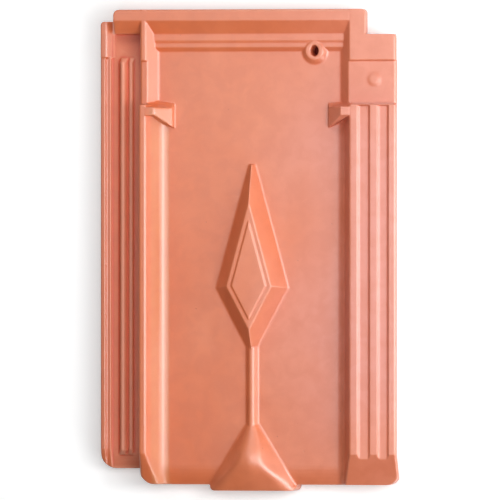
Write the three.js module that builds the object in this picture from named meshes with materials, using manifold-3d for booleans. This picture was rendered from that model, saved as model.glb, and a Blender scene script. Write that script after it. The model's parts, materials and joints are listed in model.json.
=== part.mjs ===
// Interlocking clay roof tile with a raised diamond, a centre rib and a tail nose.
//
// One pressed and fired piece. X runs across the roof, Y up its slope and Z off the weather face.
// The tile lies face up on its batten nibs and tail lip, whose undersides are the plane Z = 0.
// The origin is the centre of its plan on that plane. All sizes are millimetres.

import * as THREE from 'three';
import { mergeVertices } from 'three/addons/utils/BufferGeometryUtils.js';
import Module from 'manifold-3d';

const wasm = await Module();
wasm.setup();
const { Manifold, Mesh } = wasm;

// ---------------------------------------------------------------- driving dimensions

// Overall plan
const TILE_LENGTH = 420;
const TILE_WIDTH = 270;
const NOSE_OVERHANG = 5.3; // nose beyond the tail edge

// Thicknesses and levels
const FIELD_THICKNESS = 11;
const NIB_DEPTH = 11; // below the underside of the field
const BORDER_RISE = 17; // roll and flange above the field
const HEADLAP_RISE = 8; // the same border where the next course covers it
const HEAD_RISE = 9.4; // border and rim beside the nail hole
const FLANGE_THICKNESS = 11;
const HEADLAP_FLANGE_THICKNESS = 8;
const FLANGE_WALL = 9.5;
const STRIP_THICKNESS = 8.5;
const STRIP_DROP = 5.5; // strip floor below the field

// Lengths along the slope, from the head edge
const SHOULDER_FROM_HEAD = 22; // the flange's full width starts here
const STRIP_FROM_HEAD = 10.4;
const HEAD_ZONE = 44.8;
const HEADLAP_ZONE = 83.2;

// Roll and flange
const ROLL_FLAT = 5.8;
const WALL_BATTER = 2; // lean of the roll's outer wall
const ROLL_FLANK_ANGLE = 55; // degrees
const FLANGE_FLANK_ANGLE = 62;
const HEADLAP_FLANK_ANGLE = 45;
const FLANGE_TOP = 41.7;
const HEADLAP_FLANGE_TOP = 43;
const HEADLAP_SETBACK = 2; // flange edge in the head lap behind the edge below it
const FOOT_RADIUS = 9;
const HEADLAP_FOOT_RADIUS = 4;
const CREST_RADIUS = 2.2;
const EDGE_RADIUS = 1.8;
const EDGE_FACE = 3.5; // upright part of the flange's outer edge
const EDGE_LEAN = 1.8; // below it the edge leans inwards
const UNDERSIDE_RADIUS = 3;

// Groove under the roll
const FOLD_WIDTH = 13;
const FOLD_DEPTH = 11;
const FOLD_ROUNDING = 2;
const TAIL_FOLD_DEPTH = 3;

// Flutes along the top of the flange
const FLUTES = [
  { edge: 6.6, width: 10.4 }, // edge is from the flange's outer edge to the flute's near side
  { edge: 23.4, width: 11.4 },
];
const FLUTE_DEPTH = 1.8;
const FLUTE_SLOPE = 1.4; // plan width of a flute's side
const FLUTE_ROUNDING = 1.2;
const FLUTE_HEAD_GAP = 0.8;

// Tail skirt, where the faces slope down to the tail edge
const SKIRT_LENGTH = 26.6;
const SKIRT_DROP = 12;
const FIELD_SKIRT_LENGTH = 17;
const FIELD_SKIRT_DROP = 3.5;
const SKIRT_STEPS = 8;

// Underlap strip
const STRIP_WIDTH = 37;
const STRIP_TAIL_SHORT = 13.8; // strip ends before the tail edge
const STRIP_SKIRT = 17;
const STRIP_SKIRT_DROP = 3.5;
const STRIP_SKIRT_STEPS = 4;
const LIP = { width: 4.2, slope: 0.8, height: 4, rounding: 0.8 };
const SHELF = { end: 8.6, height: 2 }; // end is from the strip's outer edge
const HEAD_LIP = { width: 5.2, slope: 4.8, height: 4.6, rounding: 3 };
const HEAD_SHELF = { end: 11, height: 0.4 };
const HEAD_LIP_LENGTH = 31;
const SHELF_SLOPE = 1.2; // plan width of the shelf's side
const LIP_EDGE_RADIUS = 1;
const TAIL_LIP_SHARE = 0.3; // height of lip and shelf at the strip's tail, to their full height
const STRIP_RIBS = [
  { left: 15.8, width: 8, height: 4.2 }, // left is from the strip's outer edge
  { left: 23.9, width: 5.6, height: 2.6 },
];
const STRIP_RIB_TOP_SHARE = 0.3; // width of a rib's top to its whole width
const STRIP_RIB_ROUNDING = 1.5;
const STRIP_RIB_FROM_HEAD = 42;
const STRIP_RIB_FROM_TAIL = 12;
const STRIP_RIB_RAMP = 4;
const STRIP_RIB_END_SHARE = 1 / 8; // a rib's height at its ends to its full height

// Lock ribs under the flange, which drop into the next tile's strip
const LOCK_RIB_WIDTH = 3.5;
const LOCK_RIB_DRAFT = 0.6;
const LOCK_CLEARANCE = 2; // over the strip floor
const LOCK_RIB_EDGES = [4.5, 24.5]; // from the flange's outer edge

// Head rim
const RIM_LEFT_INSET = 14;
const RIM_RIGHT_INSET = 29.2;
const RIM_TOP = 9.8;
const RIM_FLANK = 11.4;
const RIM_LEDGE_HEIGHT = 3.4;
const RIM_LEDGE = 6;
const RIM_FOOT_RADIUS = 2.5;
const RIM_ROUNDING = 1;
const NAIL_LEDGE_HEIGHT = 2.6;
const NAIL_LEDGE = 6; // with the slope down to it
const NAIL_LEDGE_SLOPE = 2.2;
const NAIL_LEDGE_FLANK = 3.4;
const RIM_CHANNEL_WIDTH = 11; // groove under the rim
const RIM_CHANNEL_DEPTH = 8;
const RIM_CHANNEL_INSET = 6;

// Oval nail hole, which narrows downwards, and its boss
const NAIL_TOP_HALF_WIDTH = 3.6;
const NAIL_HALF_WIDTH = 3.1;
const NAIL_OVAL = 1.35; // length up the slope to width
const NAIL_FROM_CENTRE = 58.6;
const NAIL_FROM_HEAD = 36.4;
const NAIL_BOSS_TOP_RADIUS = 7.8;
const NAIL_BOSS_BASE_RADIUS = 11.6;
const NAIL_BOSS_FOOT_RADIUS = 3.5;
const NAIL_BOSS_ROUNDING = 0.8;

// Lugs that stop the next course
const LUG_STATIONS = [
  // share of the border's rise, reach from the crest, and how far the head and tail sides lie below
  // the end of the head lap, at the crest and at the face
  { share: 0, reach: 22.4, headAtCrest: -4.4, headAtFace: -1.2, tailAtCrest: 9.9, tailAtFace: 20 },
  { share: 0.24, reach: 21.6, headAtCrest: -2.8, headAtFace: 2.4, tailAtCrest: 9.8, tailAtFace: 19.6 },
  { share: 1, reach: 8.1, headAtCrest: 2.1, headAtFace: 2.1, tailAtCrest: 9.4, tailAtFace: 9.4 },
];

// Round button on the head lap of the flange
const BUTTON_RADIUS = 5.6;
const BUTTON_HEIGHT = 0.7;
const BUTTON_EDGE = 1; // plan width of its sloped edge
const BUTTON_FROM_EDGE = 21.6;
const BUTTON_FROM_HEAD = 61.4;

// Raised diamond
const DIAMOND_HALF_WIDTH = 32.4;
const DIAMOND_TOP_FROM_HEAD = 124.9; // where its upper sides would meet
const DIAMOND_TIP_CUT = 10.6; // its blunt tip lies this far below
const DIAMOND_UPPER = 118.2; // top point to widest line
const DIAMOND_LOWER = 61; // widest line to bottom point
const DIAMOND_RISE = 14;
const DIAMOND_FLANK = 11.4; // plan width of its slopes
const DIAMOND_FOOT_RADIUS = 2.5;
const DIAMOND_EDGE_RADIUS = 1.2;
const PANEL_INSET = 4.2;
const PANEL_RISE = 0.9;
const DIAMOND_WALL = 10;
const CENTRE_LINE = 2.2; // diamond, rib and nose lie this far right of the plan centre

// Centre rib
const RIB_WIDTH = 11;
const RIB_HEIGHT = 4.2;
const RIB_TOP = 3.4;
const RIB_ROUNDING = 2.2;
const RIB_FILLET = 1.6;

// Nose: half widths and heights over the field, at distances from its tip
const NOSE_HALF_WIDTH = 39; // at the tip
const NOSE_CORNER = 4.5;
const NOSE_CROWN = 1.2; // crown radius to shoulder half width
const NOSE_SHOULDER = 0.75; // shoulder radius to shoulder half width
const NOSE_FOOT_RADIUS = 5;
const NOSE_FLARE = 2.6; // level edge beyond the foot, which the foot's fillet runs into
const NOSE_STATIONS = [
  { back: 0, foot: 42.2, shoulder: 33, shoulderRise: 3, crownRise: 4.2 },
  { back: 5, foot: 39.1, shoulder: 29.5, shoulderRise: 5.6, crownRise: 6.9 },
  { back: 12, foot: 34.6, shoulder: 22.5, shoulderRise: 8.7, crownRise: 10.1 },
  { back: 19, foot: 30.2, shoulder: 14.8, shoulderRise: 11, crownRise: 12.6 },
  { back: 26, foot: 25.7, shoulder: 9.6, shoulderRise: 12, crownRise: 13.5 },
  { back: 34, foot: 20.6, shoulder: 8.2, shoulderRise: 10.8, crownRise: 12.4 },
  { back: 44, foot: 14.3, shoulder: 6.4, shoulderRise: 7.8, crownRise: 9.2 },
  { back: 52, foot: 9.2, shoulder: 4.6, shoulderRise: 5, crownRise: 6.2 },
  { back: 58, foot: 5.4, shoulder: 2.4, shoulderRise: 3, crownRise: 4 },
];
const NOSE_LENGTH = NOSE_STATIONS.at(-1).back;
const NOSE_STEPS = 24;

// Hollow under the nose, which straddles the joint between the two tiles below
const HOLLOW_TOP_SHARE = 0.7; // width at the top to width at the bottom
const HOLLOW_ROUNDING = 2;
const HOLLOW_STATIONS = [
  { back: -1, half: 31, top: 15 }, // top is above the plane the tile rests on
  { back: 8, half: 29, top: 17 },
  { back: 27, half: 17, top: 22.5 },
  { back: 46, half: 7, top: 15 },
  { back: 56, half: 3, top: 9 },
];

// Underside: batten nibs, tail lip, weather bar and stiffening ribs
const NIB_SPACING = 100;
const NIB_LENGTH = 28;
const NIB_WIDTH = 11;
const NIB_FROM_HEAD = 19;
const NIB_DRAFT = 1.5;
const TAIL_LIP_WIDTH = 7;
const TAIL_LIP_DRAFT = 1.2;
const TAIL_LIP_INSET = 14; // from the feet of roll and flange
const BAR_FROM_TAIL = 17;
const BAR_WIDTH = 5;
const BAR_DEPTH = 6;
const STIFFENER_SPACING = 95;
const STIFFENER_WIDTH = 8;
const STIFFENER_DEPTH = 4;
const STIFFENER_FROM_HEAD = 50;
const STIFFENER_FROM_TAIL = 26;

// Corner radii of the plan
const STRIP_TAIL_CORNER = 12.5;
const STRIP_HEAD_CORNER = 3;
const ROLL_TAIL_CORNER = 13;
const FLANGE_TAIL_CORNER = 11.5;
const FLANGE_HEAD_CORNER = 3.2;
const RIM_LEFT_CORNER = 5;
const RIM_RIGHT_CORNER = 4;

// Modelling allowances
const SINK = 1; // how far joined pieces reach into each other
const CLEAR = 5; // how far cutters reach past what they cut
const COPLANAR_GAP = 0.05; // keeps joined faces from lying in one plane
const TURNED_FACETS = 28;
const NAIL_FACETS = 24;

// Fired clay
const CLAY_COLOUR = 0xde8668;
const CLAY_ROUGHNESS = 0.6;

// ---------------------------------------------------------------- derived places and levels

const LEFT = -TILE_WIDTH / 2;
const RIGHT = TILE_WIDTH / 2;
const HEAD = TILE_LENGTH / 2;
const NOSE_TIP = -TILE_LENGTH / 2;
const TAIL = NOSE_TIP + NOSE_OVERHANG;
const STRIP_TAIL = TAIL + STRIP_TAIL_SHORT;
const HEADLAP_END = HEAD - HEADLAP_ZONE;
const HEAD_ZONE_END = HEAD - HEAD_ZONE;

const UNDERSIDE = NIB_DEPTH;
const FIELD = UNDERSIDE + FIELD_THICKNESS;
const BORDER = FIELD + BORDER_RISE;
const STRIP_FLOOR = FIELD - STRIP_DROP;
const STRIP_UNDERSIDE = STRIP_FLOOR - STRIP_THICKNESS;
const LOCK_RIB_BOTTOM = STRIP_FLOOR + LOCK_CLEARANCE;

const runPerRise = (angle) => 1 / Math.tan(THREE.MathUtils.degToRad(angle));
const WALL_FOOT = LEFT + STRIP_WIDTH;
const ROLL_CREST = WALL_FOOT + WALL_BATTER + ROLL_FLAT;
const ROLL_FOOT = ROLL_CREST + BORDER_RISE * runPerRise(ROLL_FLANK_ANGLE);
const FLANGE_CREST = RIGHT - FLANGE_TOP;
const FLANGE_FOOT = FLANGE_CREST - BORDER_RISE * runPerRise(FLANGE_FLANK_ANGLE);
const HEADLAP_EDGE = RIGHT - HEADLAP_SETBACK;
const HEADLAP_CREST = HEADLAP_EDGE - HEADLAP_FLANGE_TOP;

// ---------------------------------------------------------------- geometry helpers

/** A corner of an outline, with the radius and facets of its rounding. */
const corner = (x, y, radius = 0, steps = 4) => ({ point: new THREE.Vector2(x, y), radius, steps });

/** Points of a closed outline whose corners are rounded by tangent arcs. */
function roundedOutline(corners) {
  return corners.flatMap(({ point, radius, steps }, i) => {
    if (radius === 0) return [point.clone()];
    const previous = corners.at(i - 1).point;
    const next = corners[(i + 1) % corners.length].point;
    const back = previous.clone().sub(point).normalize();
    const ahead = next.clone().sub(point).normalize();
    const half = Math.acos(THREE.MathUtils.clamp(back.dot(ahead), -1, 1)) / 2;
    const bisector = back.clone().add(ahead).normalize();
    const centre = point.clone().addScaledVector(bisector, radius / Math.sin(half));
    const from = point.clone().addScaledVector(back, radius / Math.tan(half)).sub(centre);
    const turn = (Math.PI - 2 * half) * Math.sign(ahead.cross(back));
    return Array.from({ length: steps + 1 }, (_, k) =>
      from.clone().rotateAround(new THREE.Vector2(), (turn * k) / steps).add(centre));
  });
}

/** A closed three.js geometry as a solid that can be joined and cut. */
function solid(geometry) {
  const bare = geometry.clone();
  bare.deleteAttribute('normal');
  bare.deleteAttribute('uv');
  const merged = mergeVertices(bare, 1e-4);
  return new Manifold(new Mesh({
    numProp: 3,
    vertProperties: new Float32Array(merged.attributes.position.array),
    triVerts: new Uint32Array(merged.index.array),
  }));
}

const union = (solids) => solids.reduce((all, one) => all.add(one));
const cutAll = (body, cutters) => cutters.reduce((left, cutter) => left.subtract(cutter), body);

/** An outline extruded by a depth, with its own axes laid along the given ones. */
function extrude(outline, depth, across, up, along, start) {
  const geometry = new THREE.ExtrudeGeometry(new THREE.Shape(outline), { depth, bevelEnabled: false });
  const frame = new THREE.Matrix4().makeBasis(across, up, along).setPosition(start);
  return solid(geometry.applyMatrix4(frame));
}

const X_AXIS = new THREE.Vector3(1, 0, 0);
const Y_AXIS = new THREE.Vector3(0, 1, 0);
const Z_AXIS = new THREE.Vector3(0, 0, 1);
const DOWN_SLOPE = new THREE.Vector3(0, -1, 0);

/** A section in X and Z, extruded down the slope from one Y to a lower one. */
const prismDownSlope = (section, fromY, toY) =>
  extrude(section, fromY - toY, X_AXIS, Z_AXIS, DOWN_SLOPE, new THREE.Vector3(0, fromY, 0));

/** A profile in Y and Z, extruded across the tile. */
const prismAcross = (profile, fromX, toX) =>
  extrude(profile, toX - fromX, Y_AXIS, Z_AXIS, X_AXIS, new THREE.Vector3(fromX, 0, 0));

/** A plan outline, extruded upwards. */
const prismUp = (outline, fromZ, toZ) =>
  extrude(outline, toZ - fromZ, X_AXIS, Y_AXIS, Z_AXIS, new THREE.Vector3(0, 0, fromZ));

/** Skins equal outlines, counter-clockwise as seen from the last, and closes both ends. */
function loft(sections, place) {
  const count = sections[0].outline.length;
  const placed = sections.flatMap(({ at, outline }) => outline.map((point) => place(point, at)));
  const positions = placed.flatMap((point) => point.toArray());
  const indices = [];
  for (let s = 0; s + 1 < sections.length; s += 1) {
    for (let i = 0; i < count; i += 1) {
      const a = s * count + i;
      const b = s * count + ((i + 1) % count);
      indices.push(a, b, b + count, a, b + count, a + count);
    }
  }
  const last = (sections.length - 1) * count;
  for (const [a, b, c] of THREE.ShapeUtils.triangulateShape(sections[0].outline, [])) indices.push(c, b, a);
  for (const [a, b, c] of THREE.ShapeUtils.triangulateShape(sections.at(-1).outline, [])) {
    indices.push(a + last, b + last, c + last);
  }
  const geometry = new THREE.BufferGeometry();
  geometry.setAttribute('position', new THREE.Float32BufferAttribute(positions, 3));
  geometry.setIndex(indices);
  return solid(geometry);
}

const loftDownSlope = (sections) => loft(sections, (point, y) => new THREE.Vector3(point.x, y, point.y));
const loftUp = (sections) => loft(sections, (point, z) => new THREE.Vector3(point.x, point.y, z));

/** A rounded ridge on a floor, with ramped ends. */
function ridge({ left, width, height, floor, headY, tailY, ramp }) {
  const side = (width * (1 - STRIP_RIB_TOP_SHARE)) / 2;
  const section = (rise) => roundedOutline([
    corner(left, floor - SINK),
    corner(left + width, floor - SINK),
    corner(left + width, floor),
    corner(left + width - side, floor + rise, STRIP_RIB_ROUNDING, 4),
    corner(left + side, floor + rise, STRIP_RIB_ROUNDING, 4),
    corner(left, floor),
  ]);
  const low = height * STRIP_RIB_END_SHARE;
  return loftDownSlope([
    { at: headY, outline: section(low) },
    { at: headY - ramp, outline: section(height) },
    { at: tailY + ramp, outline: section(height) },
    { at: tailY, outline: section(low) },
  ]);
}

/** A rectangle in plan. */
const rectangle = (left, low, right, high) => [
  new THREE.Vector2(left, low),
  new THREE.Vector2(right, low),
  new THREE.Vector2(right, high),
  new THREE.Vector2(left, high),
];

/** A block that narrows by its draft from the top down to the bottom. */
function draftedBlock({ left, right, low, high, bottom, top, draft }) {
  return loftUp([
    { at: bottom, outline: rectangle(left + draft, low + draft, right - draft, high - draft) },
    { at: top, outline: rectangle(left, low, right, high) },
  ]);
}

// ---------------------------------------------------------------- body: roll, field and flange

/** Cross-section of roll, field and flange. The inner slopes pass through the crests at crestLevel. */
function bodySection(form) {
  const { border, crestLevel, field, flangeUnder, foldDepth, edge } = form;
  const { flangeCrest, rollAngle, flangeAngle, footRadius } = form;
  const wall = (z) => WALL_FOOT + (WALL_BATTER * (z - STRIP_FLOOR)) / (BORDER - STRIP_FLOOR);
  const rollFlank = (z) => ROLL_CREST + (crestLevel - z) * runPerRise(rollAngle);
  const flangeFlank = (z) => flangeCrest - (crestLevel - z) * runPerRise(flangeAngle);
  const innerWall = (z) => flangeFlank(z) + FLANGE_WALL / Math.sin(THREE.MathUtils.degToRad(flangeAngle));
  const foldLeft = WALL_FOOT + STRIP_THICKNESS / 2;
  const lockRibs = [...LOCK_RIB_EDGES].sort((a, b) => b - a).flatMap((inset) => {
    const right = RIGHT - inset;
    const left = right - LOCK_RIB_WIDTH;
    const bottom = Math.min(LOCK_RIB_BOTTOM, flangeUnder - SINK);
    return [
      corner(left - LOCK_RIB_DRAFT, flangeUnder),
      corner(left, bottom),
      corner(right, bottom),
      corner(right + LOCK_RIB_DRAFT, flangeUnder),
    ];
  });
  return roundedOutline([
    corner(WALL_FOOT, STRIP_UNDERSIDE),
    corner(foldLeft, STRIP_UNDERSIDE),
    corner(foldLeft + FOLD_WIDTH / 2, UNDERSIDE + foldDepth, FOLD_ROUNDING, 3),
    corner(foldLeft + FOLD_WIDTH, UNDERSIDE),
    corner(innerWall(UNDERSIDE), UNDERSIDE, UNDERSIDE_RADIUS, 3),
    corner(innerWall(flangeUnder), flangeUnder, UNDERSIDE_RADIUS, 3),
    ...lockRibs,
    corner(edge - EDGE_LEAN, flangeUnder),
    corner(edge, border - EDGE_FACE),
    corner(edge, border, EDGE_RADIUS, 4),
    corner(flangeFlank(border), border, CREST_RADIUS, 6),
    corner(flangeFlank(field), field, footRadius, 10),
    corner(rollFlank(field), field, footRadius, 10),
    corner(rollFlank(border), border, CREST_RADIUS, 6),
    corner(wall(border), border, EDGE_RADIUS, 4),
    corner(WALL_FOOT, STRIP_FLOOR),
  ]);
}

/** The cross-section a given share of the way down the tail skirts of border and field. */
function exposedSection(borderShare, fieldShare) {
  const drop = SKIRT_DROP * borderShare;
  return bodySection({
    border: BORDER - drop,
    crestLevel: BORDER,
    field: FIELD - FIELD_SKIRT_DROP * fieldShare,
    flangeUnder: BORDER - FLANGE_THICKNESS - drop,
    foldDepth: THREE.MathUtils.lerp(FOLD_DEPTH, TAIL_FOLD_DEPTH, borderShare),
    edge: RIGHT,
    flangeCrest: FLANGE_CREST,
    rollAngle: ROLL_FLANK_ANGLE,
    flangeAngle: FLANGE_FLANK_ANGLE,
    footRadius: FOOT_RADIUS,
  });
}

/** How much of its tail drop the field has at a place. It rounds over slowly. */
const fieldDropShare = (y) => THREE.MathUtils.clamp(1 - (y - TAIL) / FIELD_SKIRT_LENGTH, 0, 1) ** 2;
const fieldLevel = (y) => FIELD - FIELD_SKIRT_DROP * fieldDropShare(y);

/** The face that the weather sees, from the head lap down to the tail edge. */
function exposedBody() {
  const skirt = Array.from({ length: SKIRT_STEPS + 1 }, (_, i) => {
    const back = SKIRT_LENGTH * (1 - i / SKIRT_STEPS);
    return { at: TAIL + back, outline: exposedSection(1 - back / SKIRT_LENGTH, fieldDropShare(TAIL + back)) };
  });
  return loftDownSlope([{ at: HEADLAP_END, outline: exposedSection(0, 0) }, ...skirt]);
}

/** The lower border that the next course covers, in two steps. Its slopes meet the rim's in mitres. */
function headlapBody() {
  const section = (rise) => bodySection({
    border: FIELD + rise,
    crestLevel: FIELD + HEADLAP_RISE,
    field: FIELD,
    flangeUnder: FIELD + HEADLAP_RISE - HEADLAP_FLANGE_THICKNESS,
    foldDepth: FOLD_DEPTH / 2,
    edge: HEADLAP_EDGE,
    flangeCrest: HEADLAP_CREST,
    rollAngle: HEADLAP_FLANK_ANGLE,
    flangeAngle: HEADLAP_FLANK_ANGLE,
    footRadius: HEADLAP_FOOT_RADIUS,
  });
  return prismDownSlope(section(HEAD_RISE), HEAD, HEAD_ZONE_END)
    .add(prismDownSlope(section(HEADLAP_RISE), HEAD_ZONE_END, HEADLAP_END));
}

/** Shallow flutes along the top of the flange. */
function flutes() {
  return FLUTES.map(({ edge, width }) => {
    const right = RIGHT - edge;
    const left = right - width;
    const floor = BORDER - FLUTE_DEPTH;
    const section = roundedOutline([
      corner(left, BORDER + SINK),
      corner(left, BORDER),
      corner(left + FLUTE_SLOPE, floor, FLUTE_ROUNDING, 2),
      corner(right - FLUTE_SLOPE, floor, FLUTE_ROUNDING, 2),
      corner(right, BORDER),
      corner(right, BORDER + SINK),
    ]);
    return prismDownSlope(section, HEADLAP_END - FLUTE_HEAD_GAP, TAIL);
  });
}

// ---------------------------------------------------------------- underlap strip

/** Cross-section of the strip, with its lip and shelf over the floor. */
function stripSection(lip, shelf, floor, heightShare) {
  const lipEnd = LEFT + lip.width;
  const shelfEnd = LEFT + shelf.end;
  const lipTop = floor + lip.height * heightShare;
  const shelfTop = floor + shelf.height * heightShare;
  return roundedOutline([
    corner(LEFT, STRIP_UNDERSIDE),
    corner(WALL_FOOT + SINK, STRIP_UNDERSIDE),
    corner(WALL_FOOT + SINK, floor),
    corner(shelfEnd + SHELF_SLOPE, floor),
    corner(shelfEnd, shelfTop),
    corner(lipEnd + lip.slope, shelfTop),
    corner(lipEnd, lipTop, lip.rounding, 4),
    corner(LEFT, lipTop, LIP_EDGE_RADIUS, 3),
  ]);
}

/** The strip that lies under the next tile's flange, with its two water ribs. */
function underlapStrip() {
  const head = HEAD - STRIP_FROM_HEAD;
  const lipStep = HEAD - STRIP_FROM_HEAD - HEAD_LIP_LENGTH;
  const skirt = Array.from({ length: STRIP_SKIRT_STEPS + 1 }, (_, i) => {
    const share = i / STRIP_SKIRT_STEPS;
    const floor = STRIP_FLOOR - STRIP_SKIRT_DROP * share ** 2;
    const heightShare = THREE.MathUtils.lerp(1, TAIL_LIP_SHARE, share);
    const outline = stripSection(LIP, SHELF, floor, heightShare);
    return { at: STRIP_TAIL + STRIP_SKIRT * (1 - share), outline };
  });
  const floor = loftDownSlope([
    { at: head, outline: stripSection(HEAD_LIP, HEAD_SHELF, STRIP_FLOOR, 1) },
    { at: lipStep, outline: stripSection(HEAD_LIP, HEAD_SHELF, STRIP_FLOOR, 1) },
    { at: lipStep - SINK, outline: stripSection(LIP, SHELF, STRIP_FLOOR, 1) },
    ...skirt,
  ]);
  const ribs = STRIP_RIBS.map((rib) => ridge({
    left: LEFT + rib.left,
    width: rib.width,
    height: rib.height,
    floor: STRIP_FLOOR,
    headY: HEAD - STRIP_RIB_FROM_HEAD,
    tailY: STRIP_TAIL + STRIP_RIB_FROM_TAIL,
    ramp: STRIP_RIB_RAMP,
  }));
  return union([floor, ...ribs]);
}

// ---------------------------------------------------------------- head

/** The rim across the head, with the ledges below it, from over the strip to the flange. */
function headRim() {
  const rimTop = FIELD + HEAD_RISE;
  const flankStart = HEAD - RIM_TOP;
  const flankEnd = flankStart - RIM_FLANK;
  const ledgeEnd = flankEnd - RIM_LEDGE;
  const nailLedgeEnd = ledgeEnd - NAIL_LEDGE;
  const flankFoot = nailLedgeEnd - NAIL_LEDGE_FLANK;
  const overField = roundedOutline([
    corner(HEAD, UNDERSIDE),
    corner(HEAD, rimTop, EDGE_RADIUS, 3),
    corner(flankStart, rimTop, RIM_ROUNDING, 2),
    corner(flankEnd, FIELD + RIM_LEDGE_HEIGHT, RIM_FOOT_RADIUS, 3),
    corner(ledgeEnd, FIELD + RIM_LEDGE_HEIGHT),
    corner(ledgeEnd - NAIL_LEDGE_SLOPE, FIELD + NAIL_LEDGE_HEIGHT),
    corner(nailLedgeEnd, FIELD + NAIL_LEDGE_HEIGHT, RIM_ROUNDING, 2),
    corner(flankFoot, FIELD - COPLANAR_GAP, RIM_FOOT_RADIUS, 3),
    corner(flankFoot - RIM_FOOT_RADIUS, FIELD - COPLANAR_GAP),
    corner(flankFoot - RIM_FOOT_RADIUS, UNDERSIDE),
  ]);
  const overStrip = roundedOutline([
    corner(HEAD, STRIP_UNDERSIDE),
    corner(HEAD, rimTop, EDGE_RADIUS, 3),
    corner(flankStart, rimTop, RIM_ROUNDING, 2),
    corner(flankEnd, FIELD + RIM_LEDGE_HEIGHT, RIM_ROUNDING, 2),
    corner(flankEnd, STRIP_UNDERSIDE),
  ]);
  const channelHead = HEAD - RIM_CHANNEL_INSET;
  const channelPlan = rectangle(ROLL_FOOT, channelHead - RIM_CHANNEL_WIDTH, FLANGE_FOOT, channelHead);
  const channel = prismUp(channelPlan, UNDERSIDE - SINK, UNDERSIDE + RIM_CHANNEL_DEPTH);
  return prismAcross(overField.reverse(), WALL_FOOT, HEADLAP_CREST + SINK)
    .add(prismAcross(overStrip.reverse(), LEFT + RIM_LEFT_INSET, WALL_FOOT + SINK))
    .subtract(channel);
}

/** Boss round the nail hole, as high as the ledge it projects from. */
function nailBoss() {
  const top = FIELD + RIM_LEDGE_HEIGHT;
  const level = FIELD - COPLANAR_GAP;
  const outer = NAIL_BOSS_BASE_RADIUS + NAIL_BOSS_FOOT_RADIUS;
  const profile = roundedOutline([
    corner(0, FIELD - SINK),
    corner(outer, FIELD - SINK),
    corner(outer, level),
    corner(NAIL_BOSS_BASE_RADIUS, level, NAIL_BOSS_FOOT_RADIUS, 3),
    corner(NAIL_BOSS_TOP_RADIUS, top, NAIL_BOSS_ROUNDING, 2),
    corner(0, top),
  ]);
  return turned(profile, NAIL_FROM_CENTRE, HEAD - NAIL_FROM_HEAD);
}

/** A profile in radius and Z, revolved about an upright axis. */
function turned(profile, x, y) {
  const geometry = new THREE.LatheGeometry(profile, TURNED_FACETS);
  geometry.rotateX(Math.PI / 2);
  geometry.translate(x, y, 0);
  return solid(geometry);
}

/** The oval tapered hole for the nail, cut from below the underside to above the boss. */
function nailHole() {
  const taper = (NAIL_TOP_HALF_WIDTH - NAIL_HALF_WIDTH) / (FIELD + RIM_LEDGE_HEIGHT - UNDERSIDE);
  const oval = (level) => {
    const half = NAIL_HALF_WIDTH + (level - UNDERSIDE) * taper;
    const curve = new THREE.EllipseCurve(NAIL_FROM_CENTRE, HEAD - NAIL_FROM_HEAD, half, half * NAIL_OVAL);
    return { at: level, outline: curve.getPoints(NAIL_FACETS).slice(1) };
  };
  return loftUp([oval(UNDERSIDE - CLEAR), oval(FIELD + RIM_LEDGE_HEIGHT + CLEAR)]);
}

/** A low plain disc on the head lap of the flange. */
function button() {
  const top = FIELD + HEADLAP_RISE + BUTTON_HEIGHT;
  const profile = [
    new THREE.Vector2(0, top - BUTTON_HEIGHT - SINK),
    new THREE.Vector2(BUTTON_RADIUS, top - BUTTON_HEIGHT - SINK),
    new THREE.Vector2(BUTTON_RADIUS, top - BUTTON_HEIGHT),
    new THREE.Vector2(BUTTON_RADIUS - BUTTON_EDGE, top),
    new THREE.Vector2(0, top),
  ];
  return turned(profile, RIGHT - BUTTON_FROM_EDGE, HEAD - BUTTON_FROM_HEAD);
}

/** Stops at the top of the exposed border, one on the roll and one on the flange. */
function lugs() {
  const slab = (crest, side, station, level) => {
    const face = crest + side * station.reach;
    const outline = [
      new THREE.Vector2(crest, HEADLAP_END - station.tailAtCrest),
      new THREE.Vector2(face, HEADLAP_END - station.tailAtFace),
      new THREE.Vector2(face, HEADLAP_END - station.headAtFace),
      new THREE.Vector2(crest, HEADLAP_END - station.headAtCrest),
    ];
    return { at: level, outline: side > 0 ? outline : outline.reverse() };
  };
  const lug = (crest, side) => loftUp([
    slab(crest, side, LUG_STATIONS[0], FIELD - SINK),
    ...LUG_STATIONS.map((station) => slab(crest, side, station, FIELD + BORDER_RISE * station.share)),
  ]);
  return lug(ROLL_CREST, 1).add(lug(FLANGE_CREST, -1));
}

// ---------------------------------------------------------------- ornament

/** The diamond's plan, moved inwards by an inset, with its four sides kept parallel. */
function kite(inset) {
  const top = HEAD - DIAMOND_TOP_FROM_HEAD;
  const middle = top - DIAMOND_UPPER;
  const bottom = middle - DIAMOND_LOWER;
  const upper = new THREE.Vector2(DIAMOND_UPPER, DIAMOND_HALF_WIDTH).normalize();
  const lower = new THREE.Vector2(DIAMOND_LOWER, -DIAMOND_HALF_WIDTH).normalize();
  const upperReach = upper.y * top - inset;
  const lowerReach = lower.y * bottom - inset;
  const cross = upper.x * lower.y - upper.y * lower.x;
  const sideX = (upperReach * lower.y - lowerReach * upper.y) / cross;
  const sideY = (upper.x * lowerReach - lower.x * upperReach) / cross;
  return [
    new THREE.Vector2(CENTRE_LINE, lowerReach / lower.y),
    new THREE.Vector2(CENTRE_LINE + sideX, sideY),
    new THREE.Vector2(CENTRE_LINE, upperReach / upper.y),
    new THREE.Vector2(CENTRE_LINE - sideX, sideY),
  ];
}

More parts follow.
